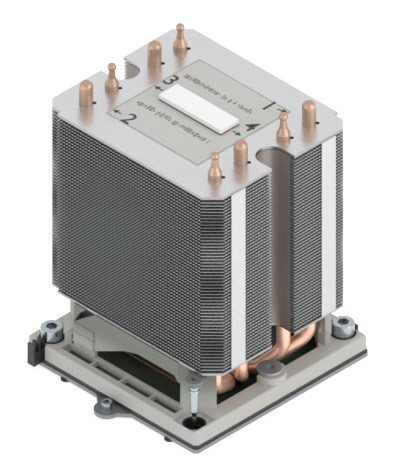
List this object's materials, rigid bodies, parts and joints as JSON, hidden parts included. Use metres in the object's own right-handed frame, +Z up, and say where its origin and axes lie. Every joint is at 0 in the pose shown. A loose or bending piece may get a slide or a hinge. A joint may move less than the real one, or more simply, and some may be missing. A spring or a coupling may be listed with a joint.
{
  "type": "passive server processor heatsink",
  "caption": "Tower heatsink with a tall stack of thin fins on bent heat pipes, standing on a cast frame with captive corner screws, side screws and guide pins.",
  "frame": {"origin": "plan centre of the base, at the underside of the feet", "axes": "+Z up through the fin stack; +X along the heat pipes towards one driver slot; +Y across the fins' long faces"},
  "size_m": [0.1032, 0.124, 0.1397],
  "materials": {
    "steel": "bright zinc-plated sheet steel",
    "zinc": "blue zinc plate",
    "rubber": "black rubber",
    "black_plastic": "moulded black nylon",
    "green_sheet": "dark green insulating sheet",
    "cast_grey": "as-cast light grey zinc alloy with a satin coat",
    "copper": "bare drawn copper",
    "aluminium": "milled",
    "plate_aluminium": "satin rolled sheet",
    "fin_aluminium": "bright rolled fin stock",
    "label_film": "matt film label",
    "foam": "closed-cell black foam",
    "white_film": "smooth white film"
  },
  "bodies": {
    "root": {"load_plate": "steel", "lug_screw_right": "zinc", "lug_screw_left": "zinc", "feet": "rubber", "carrier": "black_plastic", "insulator_sheet": "green_sheet", "base_frame": "cast_grey", "corner_screw_1": "zinc", "corner_screw_2": "zinc", "mid_screw_3": "zinc", "mid_screw_4": "zinc", "corner_washer_1": "black_plastic", "corner_washer_2": "black_plastic", "corner_retainer_1": "black_plastic", "corner_retainer_2": "black_plastic", "mid_retainer_3": "black_plastic", "mid_retainer_4": "black_plastic", "guide_pin_front": "zinc", "guide_pin_back": "zinc", "cold_plate": "copper", "pipe_cover": "aluminium", "pipe_cover_screws": "zinc", "heat_pipe_1": "copper", "heat_pipe_2": "copper", "heat_pipe_3": "copper", "heat_pipe_4": "copper", "top_plate": "plate_aluminium", "bottom_plate": "plate_aluminium", "fin_stack": "fin_aluminium", "fin_tab_walls": "fin_aluminium", "label": "label_film", "foam_pad": "foam", "pad_film": "white_film"}
  },
  "joints": []
}
